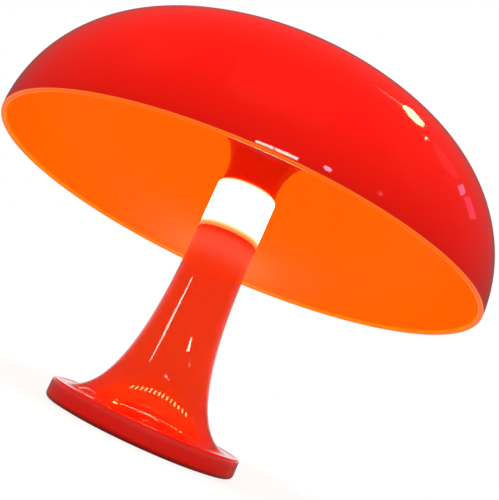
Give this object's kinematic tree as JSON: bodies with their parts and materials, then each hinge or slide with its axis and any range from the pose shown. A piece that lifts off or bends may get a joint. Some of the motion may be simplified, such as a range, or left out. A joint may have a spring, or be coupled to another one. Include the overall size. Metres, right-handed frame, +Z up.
{
  "type": "table lamp",
  "caption": "Cordless mushroom table lamp: a flared stem on a disc foot carries an opal light drum under a wide dome shade on a trumpet neck.",
  "frame": {"origin": "centre of the face of the foot pad that the lamp stands on", "axes": "+Z up along the lamp axis; +Y towards the back, where the charging socket is; +X to the right seen from the front"},
  "size_m": [0.3201, 0.3202, 0.2592],
  "materials": {
    "shade_plastic": "high-gloss moulded ABS, polished",
    "stem_plastic": "high-gloss moulded ABS, polished",
    "cover_plastic": "fine moulded texture",
    "opal": "satin opal polycarbonate",
    "silicone": "matt silicone",
    "nylon": "natural nylon",
    "zinc_steel": "zinc plated",
    "brass_insert": "turned",
    "post_aluminium": "extruded, satin",
    "strip_board": "white solder mask",
    "led": "phosphor under clear resin",
    "iron": "cast, painted black",
    "circuit_board": "green solder mask",
    "component_black": "moulded",
    "socket_steel": "drawn shell",
    "cell_wrap": "shrink sleeve",
    "nickel": "nickel strip",
    "lead_red": "silicone sleeve",
    "lead_black": "silicone sleeve"
  },
  "bodies": {
    "base": {"diffuser": "opal", "diffuser_gasket": "silicone", "spigot_cap": "nylon", "cap_screw": "zinc_steel", "light_post": "post_aluminium", "post_screws": "zinc_steel", "led_strips": "strip_board", "led_chips": "led", "stem_housing": "stem_plastic", "base_plate": "cover_plastic", "foot_pad": "silicone", "plate_screws": "zinc_steel", "ballast_disc": "iron", "ballast_screws": "zinc_steel", "control_board": "circuit_board", "board_parts": "component_black", "board_screws": "zinc_steel", "charge_socket": "socket_steel", "switch_body": "component_black", "battery_cells": "cell_wrap", "battery_cradle": "component_black", "cradle_screws": "zinc_steel", "battery_contacts": "nickel", "lamp_leads": "lead_red", "battery_leads": "lead_black"},
    "washer": {"neck_washer": "nylon"},
    "shade": {"shade_dome": "shade_plastic", "neck_flare": "shade_plastic", "neck_thread_ring": "nylon", "tie_rod": "zinc_steel", "tie_nut": "zinc_steel", "dome_insert": "brass_insert"},
    "button": {"power_button": "stem_plastic", "switch_plunger": "nylon"}
  },
  "joints": [
    {"name": "washer_rise", "type": "slide", "parent": "base", "child": "washer", "axis": [0, 0, 1], "range_m": [0, 0.006]},
    {"name": "shade_unscrew", "type": "hinge", "parent": "washer", "child": "shade", "pos_m": [0, 0, 0.18], "axis": [0, 0, 1], "range_deg": [0, 720]},
    {"name": "power_button_press", "type": "slide", "parent": "base", "child": "button", "axis": [-0.4384, -0.8988, 0], "range_m": [0, 0.001], "stiffness_N_per_m": 400, "springref_m": -0.001}
  ],
  "couplings": [
    {"joint": "washer_rise", "follows": "shade_unscrew", "m_per_rad": 0.00047746}
  ]
}
